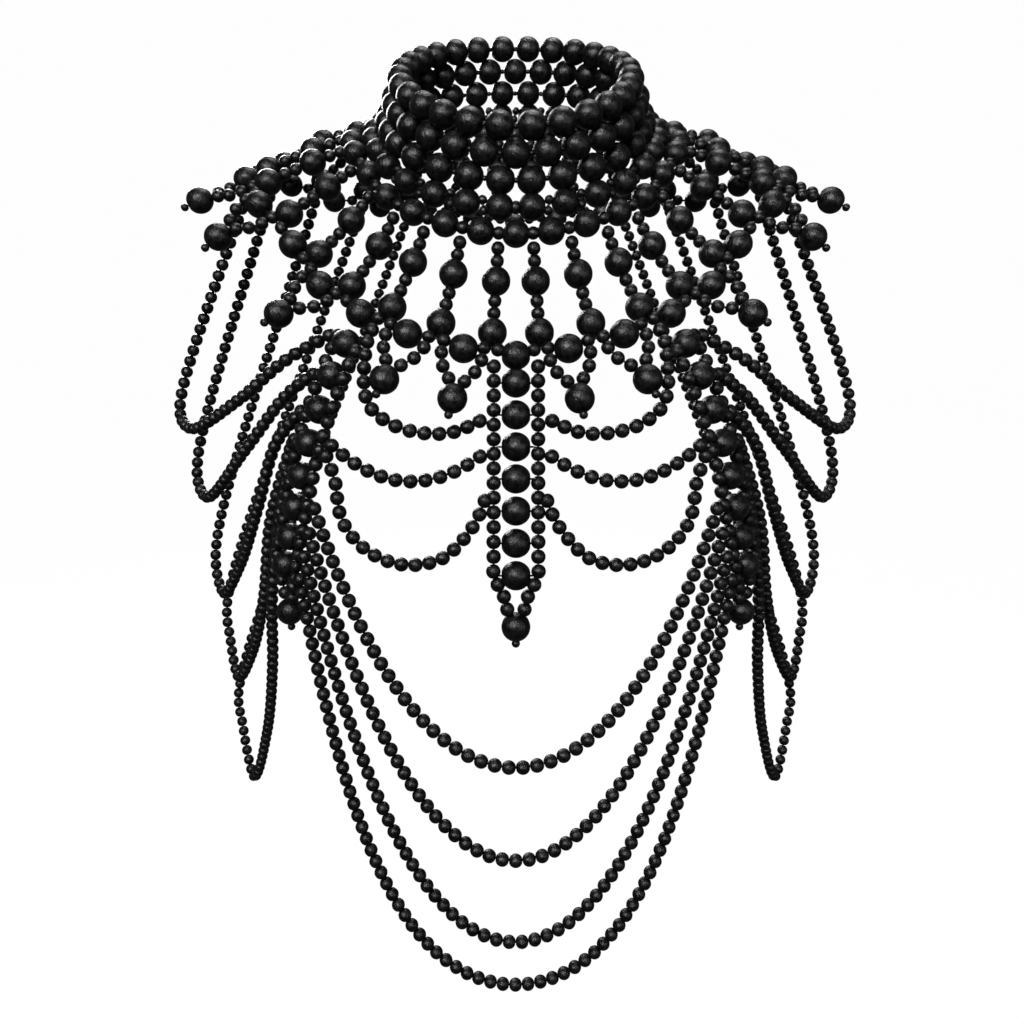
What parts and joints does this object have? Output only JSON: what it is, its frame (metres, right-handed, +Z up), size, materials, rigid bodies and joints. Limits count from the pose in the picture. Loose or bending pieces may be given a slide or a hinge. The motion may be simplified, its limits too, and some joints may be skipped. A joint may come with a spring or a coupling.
{
  "type": "beaded shoulder mantle",
  "caption": "Shoulder mantle of dark beads: a stacked bead collar, an open net of spokes with hanging drops, and long swags over the chest and round the arms.",
  "frame": {"origin": "middle of the neck rim, the top row of beads", "axes": "+Z up, the wearer faces -Y, +X to the wearer's left"},
  "size_m": [0.3758, 0.2677, 0.4466],
  "materials": {
    "beads": "black stained and waxed, satin"
  },
  "bodies": {
    "root": {"rim_row": "beads", "collar_row_2": "beads", "collar_row_3": "beads", "collar_row_4": "beads", "collar_row_5": "beads", "spoke_01": "beads", "spoke_02": "beads", "spoke_03": "beads", "spoke_04": "beads", "spoke_05": "beads", "spoke_06": "beads", "spoke_07": "beads", "spoke_08": "beads", "spoke_09": "beads", "spoke_10": "beads", "spoke_11": "beads", "spoke_12": "beads", "spoke_13": "beads", "spoke_14": "beads", "spoke_15": "beads", "spoke_16": "beads", "spoke_17": "beads", "spoke_18": "beads", "spoke_19": "beads", "spoke_20": "beads", "spoke_21": "beads", "spoke_22": "beads", "spoke_23": "beads", "spoke_24": "beads", "spoke_25": "beads", "spoke_26": "beads", "spoke_27": "beads", "spoke_28": "beads", "hem_net": "beads", "pendant": "beads", "column_left": "beads", "column_right": "beads", "chest_swag_left_1": "beads", "chest_swag_left_2": "beads", "chest_swag_left_3": "beads", "chest_swag_right_1": "beads", "chest_swag_right_2": "beads", "chest_swag_right_3": "beads", "belly_swag_1": "beads", "belly_swag_2": "beads", "belly_swag_3": "beads", "belly_swag_4": "beads", "arm_loop_left_1": "beads", "arm_loop_left_2": "beads", "arm_loop_left_3": "beads", "arm_loop_left_4": "beads", "arm_loop_left_5": "beads", "arm_loop_right_1": "beads", "arm_loop_right_2": "beads", "arm_loop_right_3": "beads", "arm_loop_right_4": "beads", "arm_loop_right_5": "beads"}
  },
  "joints": []
}
